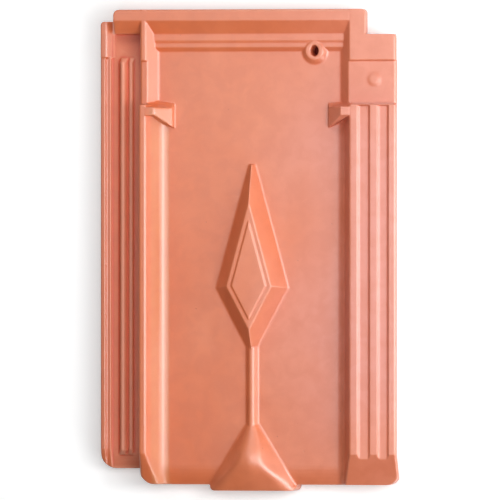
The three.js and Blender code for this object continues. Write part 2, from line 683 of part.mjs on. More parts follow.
/** The diamond: four equal slopes with a rounded foot, a flat top and a raised panel. */
function diamond() {
  const plateau = FIELD + DIAMOND_RISE;
  const panelInset = DIAMOND_FLANK + PANEL_INSET;
  const slope = roundedOutline([
    corner(-DIAMOND_FLANK, FIELD),
    corner(0, FIELD, DIAMOND_FOOT_RADIUS, 4),
    corner(DIAMOND_FLANK, plateau, DIAMOND_EDGE_RADIUS, 2),
    corner(2 * DIAMOND_FLANK, plateau),
  ]).slice(1, -1);
  const body = loftUp([
    { at: FIELD - SINK, outline: kite(slope[0].x) },
    ...slope.map(({ x: inset, y: level }) => ({ at: level, outline: kite(inset) })),
  ]);
  const panel = loftUp([
    { at: plateau - SINK, outline: kite(panelInset) },
    { at: plateau, outline: kite(panelInset) },
    { at: plateau + PANEL_RISE, outline: kite(panelInset + PANEL_RISE / 2) },
  ]);
  const cut = HEAD - DIAMOND_TOP_FROM_HEAD - DIAMOND_TIP_CUT;
  const beyondTip = rectangle(LEFT, cut, RIGHT, HEAD);
  return body.subtract(prismUp(beyondTip, FIELD - COPLANAR_GAP, BORDER)).add(panel);
}

/** The recess that keeps the clay under the diamond at an even thickness. */
function diamondRecess() {
  const slope = DIAMOND_FLANK / DIAMOND_RISE;
  const wallInset = DIAMOND_WALL * Math.hypot(1, slope);
  const top = FIELD + DIAMOND_RISE - FIELD_THICKNESS;
  const inset = (z) => wallInset + (z - FIELD) * slope;
  return loftUp([
    { at: UNDERSIDE - SINK, outline: kite(inset(UNDERSIDE - SINK)) },
    { at: top, outline: kite(inset(top)) },
  ]);
}

/** The rounded rib that joins the diamond to the nose. Both its ends run into them. */
function centreRib() {
  const diamondBottom = HEAD - DIAMOND_TOP_FROM_HEAD - DIAMOND_UPPER - DIAMOND_LOWER;
  const half = (side) => [
    corner(CENTRE_LINE + side * (RIB_WIDTH / 2 + RIB_FILLET), FIELD - SINK),
    corner(CENTRE_LINE + side * (RIB_WIDTH / 2 + RIB_FILLET), FIELD - COPLANAR_GAP),
    corner(CENTRE_LINE + (side * RIB_WIDTH) / 2, FIELD - COPLANAR_GAP, RIB_FILLET, 2),
    corner(CENTRE_LINE + (side * RIB_TOP) / 2, FIELD + RIB_HEIGHT, RIB_ROUNDING, 4),
  ];
  const section = roundedOutline([...half(1), ...half(-1).reverse()]);
  return prismDownSlope(section, diamondBottom + DIAMOND_FLANK * 2, NOSE_TIP + NOSE_LENGTH - RIB_WIDTH);
}

/** Cross-section of the nose at a place: flared foot, steep flanks, rounded shoulders and a crowned top. */
function noseSection(y, { foot, shoulder, shoulderRise, crownRise }) {
  const base = FIELD - FIELD_SKIRT_DROP - SINK;
  const level = fieldLevel(y) - COPLANAR_GAP;
  const flare = foot + NOSE_FLARE;
  const half = (side) => [
    corner(CENTRE_LINE + side * flare, base),
    corner(CENTRE_LINE + side * flare, level),
    corner(CENTRE_LINE + side * foot, level, NOSE_FOOT_RADIUS, 3),
    corner(CENTRE_LINE + side * shoulder, FIELD + shoulderRise, shoulder * NOSE_SHOULDER, 6),
  ];
  const crown = corner(CENTRE_LINE, FIELD + crownRise, shoulder * NOSE_CROWN, 3);
  return roundedOutline([...half(1), crown, ...half(-1).reverse()]);
}

/** The nose, which widens and rises from the rib and then slopes down to its tip. */
function nose() {
  const along = (size) => new THREE.SplineCurve(
    NOSE_STATIONS.map((station) => new THREE.Vector2(station.back, station[size])));
  const foot = along('foot');
  const shoulder = along('shoulder');
  const shoulderRise = along('shoulderRise');
  const crownRise = along('crownRise');
  const top = loftDownSlope(Array.from({ length: NOSE_STEPS + 1 }, (_, i) => {
    const t = 1 - i / NOSE_STEPS;
    const y = NOSE_TIP + foot.getPoint(t).x;
    const station = {
      foot: foot.getPoint(t).y,
      shoulder: shoulder.getPoint(t).y,
      shoulderRise: shoulderRise.getPoint(t).y,
      crownRise: crownRise.getPoint(t).y,
    };
    return { at: y, outline: noseSection(y, station) };
  }));
  const apron = prismUp(
    rectangle(CENTRE_LINE - NOSE_HALF_WIDTH, NOSE_TIP, CENTRE_LINE + NOSE_HALF_WIDTH, TAIL + TAIL_LIP_WIDTH),
    0,
    FIELD - FIELD_SKIRT_DROP,
  );
  return top.add(apron);
}

/** The hollow under the nose, open at its tip and below. */
function noseHollow() {
  return loftDownSlope([...HOLLOW_STATIONS].reverse().map(({ back, half, top }) => ({
    at: NOSE_TIP + back,
    outline: roundedOutline([
      corner(CENTRE_LINE - half, -CLEAR),
      corner(CENTRE_LINE + half, -CLEAR),
      corner(CENTRE_LINE + half * HOLLOW_TOP_SHARE, top, HOLLOW_ROUNDING, 3),
      corner(CENTRE_LINE - half * HOLLOW_TOP_SHARE, top, HOLLOW_ROUNDING, 3),
    ]),
  })));
}

// ---------------------------------------------------------------- underside

/** Two nibs that hook over the batten with their square downhill faces. */
function battenNibs() {
  const high = HEAD - NIB_FROM_HEAD;
  const low = high - NIB_WIDTH;
  return [-1, 1].map((side) => {
    const centre = CENTRE_LINE + (side * NIB_SPACING) / 2;
    const left = centre - NIB_LENGTH / 2;
    const right = centre + NIB_LENGTH / 2;
    return loftUp([
      { at: 0, outline: rectangle(left + NIB_DRAFT, low, right - NIB_DRAFT, high - NIB_DRAFT) },
      { at: UNDERSIDE + SINK, outline: rectangle(left, low, right, high) },
    ]);
  });
}

/** The lip along the tail and the weather bar behind it. */
function tailLip() {
  const left = ROLL_FOOT - TAIL_LIP_INSET;
  const right = FLANGE_FOOT + TAIL_LIP_INSET / 2;
  const lip = draftedBlock({
    left,
    right,
    low: TAIL,
    high: TAIL + TAIL_LIP_WIDTH,
    bottom: 0,
    top: UNDERSIDE + SINK,
    draft: TAIL_LIP_DRAFT,
  });
  const bar = draftedBlock({
    left: ROLL_FOOT,
    right: FLANGE_FOOT,
    low: TAIL + BAR_FROM_TAIL,
    high: TAIL + BAR_FROM_TAIL + BAR_WIDTH,
    bottom: UNDERSIDE - BAR_DEPTH,
    top: UNDERSIDE + SINK,
    draft: SINK,
  });
  return [lip, bar];
}

/** Long shallow ribs that stiffen the field. */
function stiffeners() {
  return [-1, 1].map((side) => {
    const centre = CENTRE_LINE + (side * STIFFENER_SPACING) / 2;
    return draftedBlock({
      left: centre - STIFFENER_WIDTH / 2,
      right: centre + STIFFENER_WIDTH / 2,
      low: TAIL + STIFFENER_FROM_TAIL,
      high: HEAD - STIFFENER_FROM_HEAD,
      bottom: UNDERSIDE - STIFFENER_DEPTH,
      top: UNDERSIDE + SINK,
      draft: SINK,
    });
  });
}

// ---------------------------------------------------------------- the whole tile

/** Plan of the tile with its rounded corners. */
function planOutline() {
  const noseLeft = CENTRE_LINE - NOSE_HALF_WIDTH;
  const noseRight = CENTRE_LINE + NOSE_HALF_WIDTH;
  const shoulder = HEAD - SHOULDER_FROM_HEAD;
  const rimRight = RIGHT - RIM_RIGHT_INSET;
  const stripHead = HEAD - STRIP_FROM_HEAD;
  return roundedOutline([
    corner(WALL_FOOT, STRIP_TAIL),
    corner(WALL_FOOT, TAIL, ROLL_TAIL_CORNER, 6),
    corner(noseLeft, TAIL),
    corner(noseLeft, NOSE_TIP, NOSE_CORNER, 4),
    corner(noseRight, NOSE_TIP, NOSE_CORNER, 4),
    corner(noseRight, TAIL),
    corner(RIGHT, TAIL, FLANGE_TAIL_CORNER, 6),
    corner(RIGHT, HEADLAP_END),
    corner(HEADLAP_EDGE, HEADLAP_END),
    corner(HEADLAP_EDGE, shoulder, FLANGE_HEAD_CORNER, 4),
    corner(rimRight, shoulder),
    corner(rimRight, HEAD, RIM_RIGHT_CORNER, 4),
    corner(LEFT + RIM_LEFT_INSET, HEAD, RIM_LEFT_CORNER, 4),
    corner(LEFT + RIM_LEFT_INSET, stripHead),
    corner(LEFT, stripHead, STRIP_HEAD_CORNER, 3),
    corner(LEFT, STRIP_TAIL, STRIP_TAIL_CORNER, 6),
  ]);
}

function roofTile() {
  const pressed = union([
    exposedBody(),
    headlapBody(),
    underlapStrip(),
    headRim(),
    nailBoss(),
    button(),
    lugs(),
    diamond(),
    centreRib(),
    nose(),
    ...battenNibs(),
    ...tailLip(),
    ...stiffeners(),
  ]);
  const cut = cutAll(pressed, [...flutes(), diamondRecess(), noseHollow(), nailHole()]);
  return cut.intersect(prismUp(planOutline(), -CLEAR, BORDER + CLEAR));
}

/** The finished solid as a three.js geometry. */
function toGeometry(body) {
  const mesh = body.getMesh();
  const geometry = new THREE.BufferGeometry();
  geometry.setAttribute('position', new THREE.BufferAttribute(mesh.vertProperties, 3));
  geometry.setIndex(new THREE.BufferAttribute(mesh.triVerts, 1));
  geometry.computeVertexNormals();
  return geometry;
}

const clay = new THREE.MeshStandardMaterial({ color: CLAY_COLOUR, roughness: CLAY_ROUGHNESS, metalness: 0 });
const tile = new THREE.Mesh(toGeometry(roofTile()), clay);
tile.name = 'clay_tile';

const model = new THREE.Group();
model.add(tile);

export default model;
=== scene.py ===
"""Looks of an interlocking clay roof tile: pressed edges, fired clay, a small studio and the camera.

The frame holds the tile's shape and place. All lengths are metres, and MM turns millimetres into them.
X runs across the roof, Y up its slope and Z off the weather face.
"""

from __future__ import annotations

import json
import logging
import math
from dataclasses import dataclass
from enum import Enum

import bpy
import numpy as np
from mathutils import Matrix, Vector

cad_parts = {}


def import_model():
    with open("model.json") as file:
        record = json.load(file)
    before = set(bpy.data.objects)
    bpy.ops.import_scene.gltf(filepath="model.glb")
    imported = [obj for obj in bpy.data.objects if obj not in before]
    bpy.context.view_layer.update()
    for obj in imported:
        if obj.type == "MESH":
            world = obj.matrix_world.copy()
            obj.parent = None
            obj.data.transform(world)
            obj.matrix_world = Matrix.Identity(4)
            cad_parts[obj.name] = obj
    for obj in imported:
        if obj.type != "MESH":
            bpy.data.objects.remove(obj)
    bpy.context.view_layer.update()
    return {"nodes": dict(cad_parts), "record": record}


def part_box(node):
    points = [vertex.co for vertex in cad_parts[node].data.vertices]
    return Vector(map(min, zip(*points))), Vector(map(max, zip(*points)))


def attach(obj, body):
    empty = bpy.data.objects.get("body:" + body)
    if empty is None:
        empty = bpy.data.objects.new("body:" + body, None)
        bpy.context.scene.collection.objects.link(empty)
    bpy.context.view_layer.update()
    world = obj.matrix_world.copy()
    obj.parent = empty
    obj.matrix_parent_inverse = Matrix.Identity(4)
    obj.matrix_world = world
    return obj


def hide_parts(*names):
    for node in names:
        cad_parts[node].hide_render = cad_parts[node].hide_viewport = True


LOG = logging.getLogger("clay_tile")

MM = 0.001
TILE_NODE = "clay_tile"
TILE_BODY = "root"
HOLE_NAME = "nail_hole"
WHITE = (1.0, 1.0, 1.0)
NOISE_LOW, NOISE_MIDDLE, NOISE_HIGH = 0.3, 0.5, 0.7  # where most of a noise's values lie

Colour = tuple[float, float, float]
NodeSocket = bpy.types.NodeSocket
Sockets = bpy.types.bpy_prop_collection


class Socket(Enum):
    """Kinds of socket that a node group shows."""

    COLOUR = "NodeSocketColor"
    VALUE = "NodeSocketFloat"
    VECTOR = "NodeSocketVector"


class Blend(Enum):
    """Ways in which a Mix node lays one colour over another."""

    MIX = "MIX"
    MULTIPLY = "MULTIPLY"


class Sum(Enum):
    """What a Math node works out."""

    ADD = "ADD"
    SUBTRACT = "SUBTRACT"
    MULTIPLY = "MULTIPLY"
    DIVIDE = "DIVIDE"
    MAXIMUM = "MAXIMUM"
    BELOW = "LESS_THAN"
    ABSOLUTE = "ABSOLUTE"
    ROOT = "SQRT"


class Skin(Enum):
    """What can be read of a skin's points."""

    PLACE = "co"
    DIRECTION = "normal"


# ---------------------------------------------------------------- node helpers


class NodeSheet:
    """A node tree that is filled from left to right."""

    COLUMN_WIDTH = 190

    def __init__(self, tree: bpy.types.NodeTree) -> None:
        """Takes an empty or emptied tree.

        Args:
            tree: The tree that receives the nodes.
        """
        self.tree = tree
        self.column = 0

    def add(self, kind: str, **settings: object) -> bpy.types.Node:
        """Adds a node in the next column.

        Args:
            kind: The node's type name in Blender.
            **settings: Properties of the node, by name.

        Returns:
            The new node.
        """
        node = self.tree.nodes.new(kind)
        node.location = (self.column * self.COLUMN_WIDTH, 0)
        self.column += 1
        for name, value in settings.items():
            setattr(node, name, value)
        return node

    def link(self, source: NodeSocket, target: NodeSocket) -> None:
        """Joins an output to an input."""
        self.tree.links.new(source, target)

    def noise(self, place: NodeSocket, size: float, detail: float = 2.0) -> NodeSocket:
        """Adds soft noise with patches of about the given size.

        Args:
            place: The coordinates that the noise lies on.
            size: Width of a patch in metres.
            detail: How many finer layers it holds.

        Returns:
            The noise's value, mostly from NOISE_LOW to NOISE_HIGH.
        """
        node = self.add("ShaderNodeTexNoise")
        node.inputs["Scale"].default_value = 1 / size
        node.inputs["Detail"].default_value = detail
        self.link(place, node.inputs["Vector"])
        return node.outputs["Fac"]

    def ramp(
        self, value: NodeSocket, low: float, high: float, to_low: float = 0.0, to_high: float = 1.0
    ) -> NodeSocket:
        """Maps a range of a value smoothly onto another range.

        Args:
            value: The value to map.
            low: Where the range starts.
            high: Where it ends.
            to_low: Result at the start.
            to_high: Result at the end.

        Returns:
            The mapped value.
        """
        node = self.add("ShaderNodeMapRange", interpolation_type="SMOOTHSTEP")
        node.inputs["From Min"].default_value = low
        node.inputs["From Max"].default_value = high
        node.inputs["To Min"].default_value = to_low
        node.inputs["To Max"].default_value = to_high
        self.link(value, node.inputs["Value"])
        return node.outputs["Result"]

    def math(self, operation: Sum, *values: NodeSocket | float) -> NodeSocket:
        """Adds a Math node.

        Args:
            operation: What it works out.
            *values: The sockets or numbers that it takes.

        Returns:
            The result.
        """
        node = self.add("ShaderNodeMath", operation=operation.value)
        for socket, value in zip(node.inputs, values):
            if isinstance(value, NodeSocket):
                self.link(value, socket)
            else:
                socket.default_value = value
        return node.outputs["Value"]

    def tint(
        self,
        base: NodeSocket | Colour,
        colour: Colour,
        amount: NodeSocket,
        blend: Blend = Blend.MIX,
    ) -> NodeSocket:
        """Lays a colour over another where a mask says.

        Args:
            base: The colour below, as a socket or as a plain colour.
            colour: The colour on top.
            amount: The mask.
            blend: How the colour is laid on.

        Returns:
            The tinted colour.
        """
        node = self.add("ShaderNodeMix", data_type="RGBA", blend_type=blend.value)
        self.link(amount, node.inputs[0])
        below, above = (socket for socket in node.inputs if socket.type == "RGBA")
        if isinstance(base, NodeSocket):
            self.link(base, below)
        else:
            below.default_value = (*base, 1)
        above.default_value = (*colour, 1)
        return next(socket for socket in node.outputs if socket.type == "RGBA")


class EffectGroup:
    """A shader node group with named inputs and outputs, built once and placed in materials."""

    name = "effect"
    inputs: tuple[tuple[str, Socket, float], ...] = ()
    outputs: tuple[tuple[str, Socket], ...] = ()

    def __init__(self) -> None:
        """Makes the group and its sockets, and fills it."""
        self.tree = bpy.data.node_groups.new(self.name, "ShaderNodeTree")
        face = self.tree.interface
        face.new_socket("Place", in_out="INPUT", socket_type=Socket.VECTOR.value)
        for label, kind, default in self.inputs:
            face.new_socket(label, in_out="INPUT", socket_type=kind.value).default_value = default
        for label, kind in self.outputs:
            face.new_socket(label, in_out="OUTPUT", socket_type=kind.value)
        sheet = NodeSheet(self.tree)
        source = sheet.add("NodeGroupInput")
        results = self.fill(sheet, source.outputs)
        end = sheet.add("NodeGroupOutput")
        for label, socket in results.items():
            sheet.link(socket, end.inputs[label])

    def fill(self, sheet: NodeSheet, given: Sockets) -> dict[str, NodeSocket]:
        """Builds the group's nodes.

        Args:
            sheet: The group's tree.
            given: The group's input sockets, by name.

        Returns:
            The socket that feeds each output, by the output's name.
        """
        raise NotImplementedError

    def place(self, sheet: NodeSheet, place: NodeSocket, **values: float) -> bpy.types.Node:
        """Places the group in a material.

        Args:
            sheet: The material's tree.
            place: The coordinates that the effect lies on.
            **values: The material's own values, by input name.

        Returns:
            The group's node.
        """
        node = sheet.add("ShaderNodeGroup", node_tree=self.tree)
        sheet.link(place, node.inputs["Place"])
        for label, value in values.items():
            node.inputs[label].default_value = value
        return node


class KilnMottle(EffectGroup):
    """Soft patches that the fire leaves in the clay's colour."""

    DETAIL = 3.0
    DISTORTION = 0.4
    NONE, FULL = 0.32, 0.68  # noise at which the mask starts and is full

    name = "kiln_mottle"
    inputs = (("Patch", Socket.VALUE, 0.05), ("Share", Socket.VALUE, 0.5))
    outputs = (("Mask", Socket.VALUE),)

    def fill(self, sheet: NodeSheet, given: Sockets) -> dict[str, NodeSocket]:
        """Builds the patches.

        Args:
            sheet: The group's tree.
            given: The group's input sockets, by name.

        Returns:
            The mask of the patches.
        """
        noise = sheet.add("ShaderNodeTexNoise")
        noise.inputs["Detail"].default_value = self.DETAIL
        noise.inputs["Distortion"].default_value = self.DISTORTION
        sheet.link(given["Place"], noise.inputs["Vector"])
        sheet.link(sheet.math(Sum.DIVIDE, 1.0, given["Patch"]), noise.inputs["Scale"])
        mask = sheet.ramp(noise.outputs["Fac"], self.NONE, self.FULL)
        return {"Mask": sheet.math(Sum.MULTIPLY, mask, given["Share"])}


class SheenDrift(EffectGroup):
    """A slow change of colour across the tile, used as painted sheen that grows from one side to the other.
    """

    WAVE_SIZE = 120 * MM
    WAVE_REACH = 160 * MM  # how far the waves shift the drift at the noise's full height

    name = "sheen_drift"
    inputs = (("From", Socket.VALUE, 0.0), ("To", Socket.VALUE, 0.1), ("Share", Socket.VALUE, 0.5))
    outputs = (("Mask", Socket.VALUE),)

    def fill(self, sheet: NodeSheet, given: Sockets) -> dict[str, NodeSocket]:
        """Builds the drift, whose line wanders in slow waves.

        Args:
            sheet: The group's tree.
            given: The group's input sockets, by name.

        Returns:
            The mask of the drift.
        """
        axes = sheet.add("ShaderNodeSeparateXYZ")
        sheet.link(given["Place"], axes.inputs["Vector"])
        waves = sheet.math(Sum.SUBTRACT, sheet.noise(given["Place"], self.WAVE_SIZE), NOISE_MIDDLE)
        across = sheet.math(Sum.ADD, axes.outputs["X"], sheet.math(Sum.MULTIPLY, waves, self.WAVE_REACH))
        gone = sheet.math(Sum.SUBTRACT, across, given["From"])
        whole = sheet.math(Sum.SUBTRACT, given["To"], given["From"])
        reach = sheet.ramp(sheet.math(Sum.DIVIDE, gone, whole), 0, 1)
        return {"Mask": sheet.math(Sum.MULTIPLY, reach, given["Share"])}


class ClayGrain(EffectGroup):
    """Fine sand in the fired clay, as a tint mask and as relief."""

    DETAIL = 3.0
    COARSENESS = 0.6
    SPECK_RIM, SPECK_HEART = 0.42, 0.16  # distances from a speck's middle, in grains

    name = "clay_grain"
    inputs = (("Grain", Socket.VALUE, 0.0012), ("Density", Socket.VALUE, 0.5))
    outputs = (("Speck", Socket.VALUE), ("Relief", Socket.VALUE))

    def fill(self, sheet: NodeSheet, given: Sockets) -> dict[str, NodeSocket]:
        """Builds the sand: a dot in some of the cells, and fine noise.

        Args:
            sheet: The group's tree.
            given: The group's input sockets, by name.

        Returns:
            The mask of the dots and the height of the noise.
        """
        scale = sheet.math(Sum.DIVIDE, 1.0, given["Grain"])
        cells = sheet.add("ShaderNodeTexVoronoi")
        sheet.link(given["Place"], cells.inputs["Vector"])
        sheet.link(scale, cells.inputs["Scale"])
        noise = sheet.add("ShaderNodeTexNoise")
        noise.inputs["Detail"].default_value = self.DETAIL
        noise.inputs["Roughness"].default_value = self.COARSENESS
        sheet.link(given["Place"], noise.inputs["Vector"])
        sheet.link(scale, noise.inputs["Scale"])
        pick = sheet.add("ShaderNodeSeparateColor")
        sheet.link(cells.outputs["Color"], pick.inputs["Color"])
        chosen = sheet.math(Sum.BELOW, pick.outputs["Red"], given["Density"])
        dot = sheet.ramp(cells.outputs["Distance"], self.SPECK_RIM, self.SPECK_HEART)
        return {"Speck": sheet.math(Sum.MULTIPLY, dot, chosen), "Relief": noise.outputs["Fac"]}


class PinHoles(EffectGroup):
    """Small round pits where a pebble or a bubble came away."""

    RIM, FLOOR = 1.0, 0.4  # distances from a pit's middle, in radii

    name = "pin_holes"
    inputs = (("Spacing", Socket.VALUE, 0.012), ("Radius", Socket.VALUE, 0.06), ("Share", Socket.VALUE, 0.4))
    outputs = (("Mask", Socket.VALUE),)

    def fill(self, sheet: NodeSheet, given: Sockets) -> dict[str, NodeSocket]:
        """Builds the pits: a round hollow in some of the cells.

        Args:
            sheet: The group's tree.
            given: The group's input sockets, by name.

        Returns:
            The mask of the pits.
        """
        cells = sheet.add("ShaderNodeTexVoronoi")
        sheet.link(given["Place"], cells.inputs["Vector"])
        sheet.link(sheet.math(Sum.DIVIDE, 1.0, given["Spacing"]), cells.inputs["Scale"])
        pick = sheet.add("ShaderNodeSeparateColor")
        sheet.link(cells.outputs["Color"], pick.inputs["Color"])
        chosen = sheet.math(Sum.BELOW, pick.outputs["Green"], given["Share"])
        depth = sheet.math(Sum.DIVIDE, cells.outputs["Distance"], given["Radius"])
        return {"Mask": sheet.math(Sum.MULTIPLY, sheet.ramp(depth, self.RIM, self.FLOOR), chosen)}


# ---------------------------------------------------------------- where things lie


def grow(value: np.ndarray, none: float, full: float) -> np.ndarray:
    """Grows from 0 where a value is at none to 1 where it is at full."""
    return np.clip((value - none) / (full - none), 0, 1)


@dataclass(frozen=True)
class Band:
    """A stretch across or along the tile that a tint or an eased form keeps to."""

    low: float
    high: float
    fade: float

    def mask(self, sheet: NodeSheet, value: NodeSocket) -> NodeSocket:
        """Masks the stretch in a material.

        Args:
            sheet: The material.
            value: The coordinate that the band lies on.

        Returns:
            1 well inside the band and 0 outside it.
        """
        rising = sheet.ramp(value, self.low, self.low + self.fade)
        falling = sheet.ramp(value, self.high, self.high - self.fade)
        return sheet.math(Sum.MULTIPLY, rising, falling)

    def share(self, values: np.ndarray) -> np.ndarray:
        """Tells how far points take part.

        Args:
            values: The points' coordinate that the band lies on.

        Returns:
            1 well inside the band and 0 outside it.
        """
        rising = grow(values, self.low, self.low + self.fade)
        return rising * grow(values, self.high, self.high - self.fade)


# ---------------------------------------------------------------- fired clay


@dataclass(frozen=True)
class FiredClay:
    """Unglazed red clay with a satin face, as pressed in a plaster mould and fired."""

    body: Colour = (0.71, 0.176, 0.066)
    pale: Colour = (0.80, 0.235, 0.104)
    # a deeper tone, for random patches and for painted shade on the strip's lip
    deep: Colour = (0.60, 0.135, 0.052)
    sand: Colour = (0.86, 0.42, 0.26)
    sand_share: float = 0.08
    iron: Colour = (0.28, 0.06, 0.03)
    iron_share: float = 0.5
    worn: Colour = (0.84, 0.36, 0.21)
    worn_share: float = 0.1

    # painted sheen: pinker towards the flange
    painted_sheen: Colour = (0.69, 0.225, 0.165)  # towards the flange
    painted_sheen_length: Band = Band(-200 * MM, 170 * MM, 110 * MM)
    painted_sheen_at_ends: float = 0.45  # to its share at mid-length
    # painted lack of sheen: deeper orange towards the strip
    sheenless: Colour = (0.74, 0.166, 0.053)  # towards the strip

    # painted light: the roll's lit flank, less red and more yellow, as a lamp from the right shows it
    flank_light: Colour = (0.64, 0.20, 0.07)  # on the roll's flank
    flank_light_share: float = 0.9
    roll_flank: Band = Band(-88 * MM, -71 * MM, 3 * MM)
    roll_length: Band = Band(-230 * MM, 126 * MM, 6 * MM)

    # painted light: lightens the strip's channel, which the roll shades, more on its ridges
    strip_light: Colour = (0.95, 0.37, 0.24)  # in the strip's channel
    strip_light_share: float = 0.22
    strip_light_on_ridges: float = 0.35
    strip_channel: Band = Band(-127 * MM, -99 * MM, 2 * MM)
    strip_lip: Band = Band(-140 * MM, -123 * MM, 3 * MM)
    strip_length: Band = Band(-230 * MM, 190 * MM, 3 * MM)
    # painted shade: the deep clay laid on the strip's outer lip
    lip_shade_share: float = 0.5  # of the deep clay

    shadow: Colour = (0.96, 0.50, 0.34)  # in sharp hollows
    hollow_shade: float = 0.12
    strip_hollow_shade: float = 0.85

    gloss_index: float = 1.65
    gloss_level: float = 1.0
    roughness: float = 0.34
    roughness_spread: float = 0.05
    strip_dullness: float = 0.28
    relief_depth: float = 0.008 * MM
    wave_size: float = 24 * MM
    wave_depth: float = 0.25 * MM
    pit_depth: float = 0.3 * MM

    def material(self, edge_attribute: str, hollow_attribute: str) -> bpy.types.Material:
        """Makes the clay's material.

        Args:
            edge_attribute: Name of the mesh attribute that is 1 on standing edges, which take wear
                everywhere and painted light on the strip's ridges.
            hollow_attribute: Name of the mesh attribute that is 1 in sharp hollows.

        Returns:
            The material.
        """
        clay = bpy.data.materials.new("fired_clay")
        clay.use_nodes = True
        sheet = NodeSheet(clay.node_tree)
        shader = clay.node_tree.nodes["Principled BSDF"]
        place = sheet.add("ShaderNodeTexCoord").outputs["Object"]
        axes = sheet.add("ShaderNodeSeparateXYZ")
        sheet.link(place, axes.inputs["Vector"])
        across, along = axes.outputs["X"], axes.outputs["Y"]
        strip = self.area(sheet, across, self.strip_channel, along, self.strip_length)
        edge = sheet.add("ShaderNodeAttribute", attribute_name=edge_attribute).outputs["Fac"]
        hollow = sheet.add("ShaderNodeAttribute", attribute_name=hollow_attribute).outputs["Fac"]
        grain = ClayGrain().place(sheet, place, Grain=1.3 * MM, Density=0.3)
        pits = PinHoles().place(sheet, place, Spacing=11 * MM, Radius=0.055, Share=0.35)

        colour = self.fire(sheet, place, across, along)
        # painted light in the strip's channel: more on ridges, none in hollows
        strip_light_mask = sheet.ramp(edge, 0, 1, self.strip_light_share, self.strip_light_share + self.strip_light_on_ridges)
        strip_light_mask = sheet.math(Sum.MULTIPLY, strip_light_mask, sheet.math(Sum.SUBTRACT, 1.0, hollow))
        colour = sheet.tint(colour, self.strip_light, sheet.math(Sum.MULTIPLY, strip, strip_light_mask))
        specks = sheet.math(Sum.MULTIPLY, grain.outputs["Speck"], self.sand_share)
        colour = sheet.tint(colour, self.sand, specks)
        stains = sheet.math(Sum.MULTIPLY, pits.outputs["Mask"], self.iron_share)
        colour = sheet.tint(colour, self.iron, stains)
        colour = sheet.tint(colour, self.worn, sheet.math(Sum.MULTIPLY, edge, self.worn_share))
        shade = sheet.ramp(strip, 0, 1, self.hollow_shade, self.strip_hollow_shade)
        colour = sheet.tint(colour, self.shadow, sheet.math(Sum.MULTIPLY, hollow, shade), Blend.MULTIPLY)
        sheet.link(colour, shader.inputs["Base Color"])

        sheet.link(self.dullness(sheet, grain.outputs["Relief"], strip), shader.inputs["Roughness"])
        shader.inputs["IOR"].default_value = self.gloss_index
        shader.inputs["Specular IOR Level"].default_value = self.gloss_level
        normal = self.relief(sheet, place, grain.outputs["Relief"], pits.outputs["Mask"])
        sheet.link(normal, shader.inputs["Normal"])
        return clay

    def area(
        self,
        sheet: NodeSheet,
        across: NodeSocket,
        width: Band,
        along: NodeSocket,
        length: Band,
    ) -> NodeSocket:
        """Masks a part of the tile's plan.

        Args:
            sheet: The clay's material.
            across: The X coordinate.
            width: Where the part lies across the tile.
            along: The Y coordinate.
            length: Where it lies along the tile.

        Returns:
            1 well inside the part and 0 outside it.
        """
        return sheet.math(Sum.MULTIPLY, width.mask(sheet, across), length.mask(sheet, along))

    def fire(
        self,
        sheet: NodeSheet,
        place: NodeSocket,
        across: NodeSocket,
        along: NodeSocket,
    ) -> NodeSocket:
        """Gives the clay its colours: random patches that the fire leaves, painted sheen that grows across
        the tile, painted light on the roll's flank and painted shade on the strip's lip.

        Args:
            sheet: The clay's material.
            place: Object coordinates.
            across: Their X.
            along: Their Y.

        Returns:
            The colour.
        """
        mottle = KilnMottle()
        broad = mottle.place(sheet, place, Patch=90 * MM, Share=0.55)
        patches = mottle.place(sheet, place, Patch=14 * MM, Share=0.35)
        drift = SheenDrift()
        # painted sheen that grows towards the flange, and its lack towards the strip
        more_sheen = drift.place(sheet, place, From=-10 * MM, To=130 * MM, Share=0.9)
        less_sheen = drift.place(sheet, place, From=-30 * MM, To=-100 * MM, Share=0.8)
        flank = self.area(sheet, across, self.roll_flank, along, self.roll_length)
        lip = self.area(sheet, across, self.strip_lip, along, self.strip_length)

        colour = sheet.tint(self.body, self.pale, broad.outputs["Mask"])
        sheen_along = sheet.ramp(self.painted_sheen_length.mask(sheet, along), 0, 1, self.painted_sheen_at_ends, 1)
        colour = sheet.tint(colour, self.painted_sheen, sheet.math(Sum.MULTIPLY, more_sheen.outputs["Mask"], sheen_along))
        colour = sheet.tint(colour, self.sheenless, less_sheen.outputs["Mask"])
        # painted light on the roll's flank
        colour = sheet.tint(colour, self.flank_light, sheet.math(Sum.MULTIPLY, flank, self.flank_light_share))
        colour = sheet.tint(colour, self.deep, patches.outputs["Mask"])
        # painted shade on the strip's outer lip
        return sheet.tint(colour, self.deep, sheet.math(Sum.MULTIPLY, lip, self.lip_shade_share))

    def dullness(self, sheet: NodeSheet, grain: NodeSocket, strip: NodeSocket) -> NodeSocket:
        """Makes the clay a satin that its grain breaks up and that is duller in the strip.

        Args:
            sheet: The clay's material.
            grain: The grain's relief.
            strip: Mask of the strip's channel.

        Returns:
            The roughness.
        """
        dullest = self.roughness + self.roughness_spread
        satin = sheet.ramp(grain, NOISE_LOW, NOISE_HIGH, self.roughness, dullest)
        return sheet.math(Sum.ADD, satin, sheet.math(Sum.MULTIPLY, strip, self.strip_dullness))

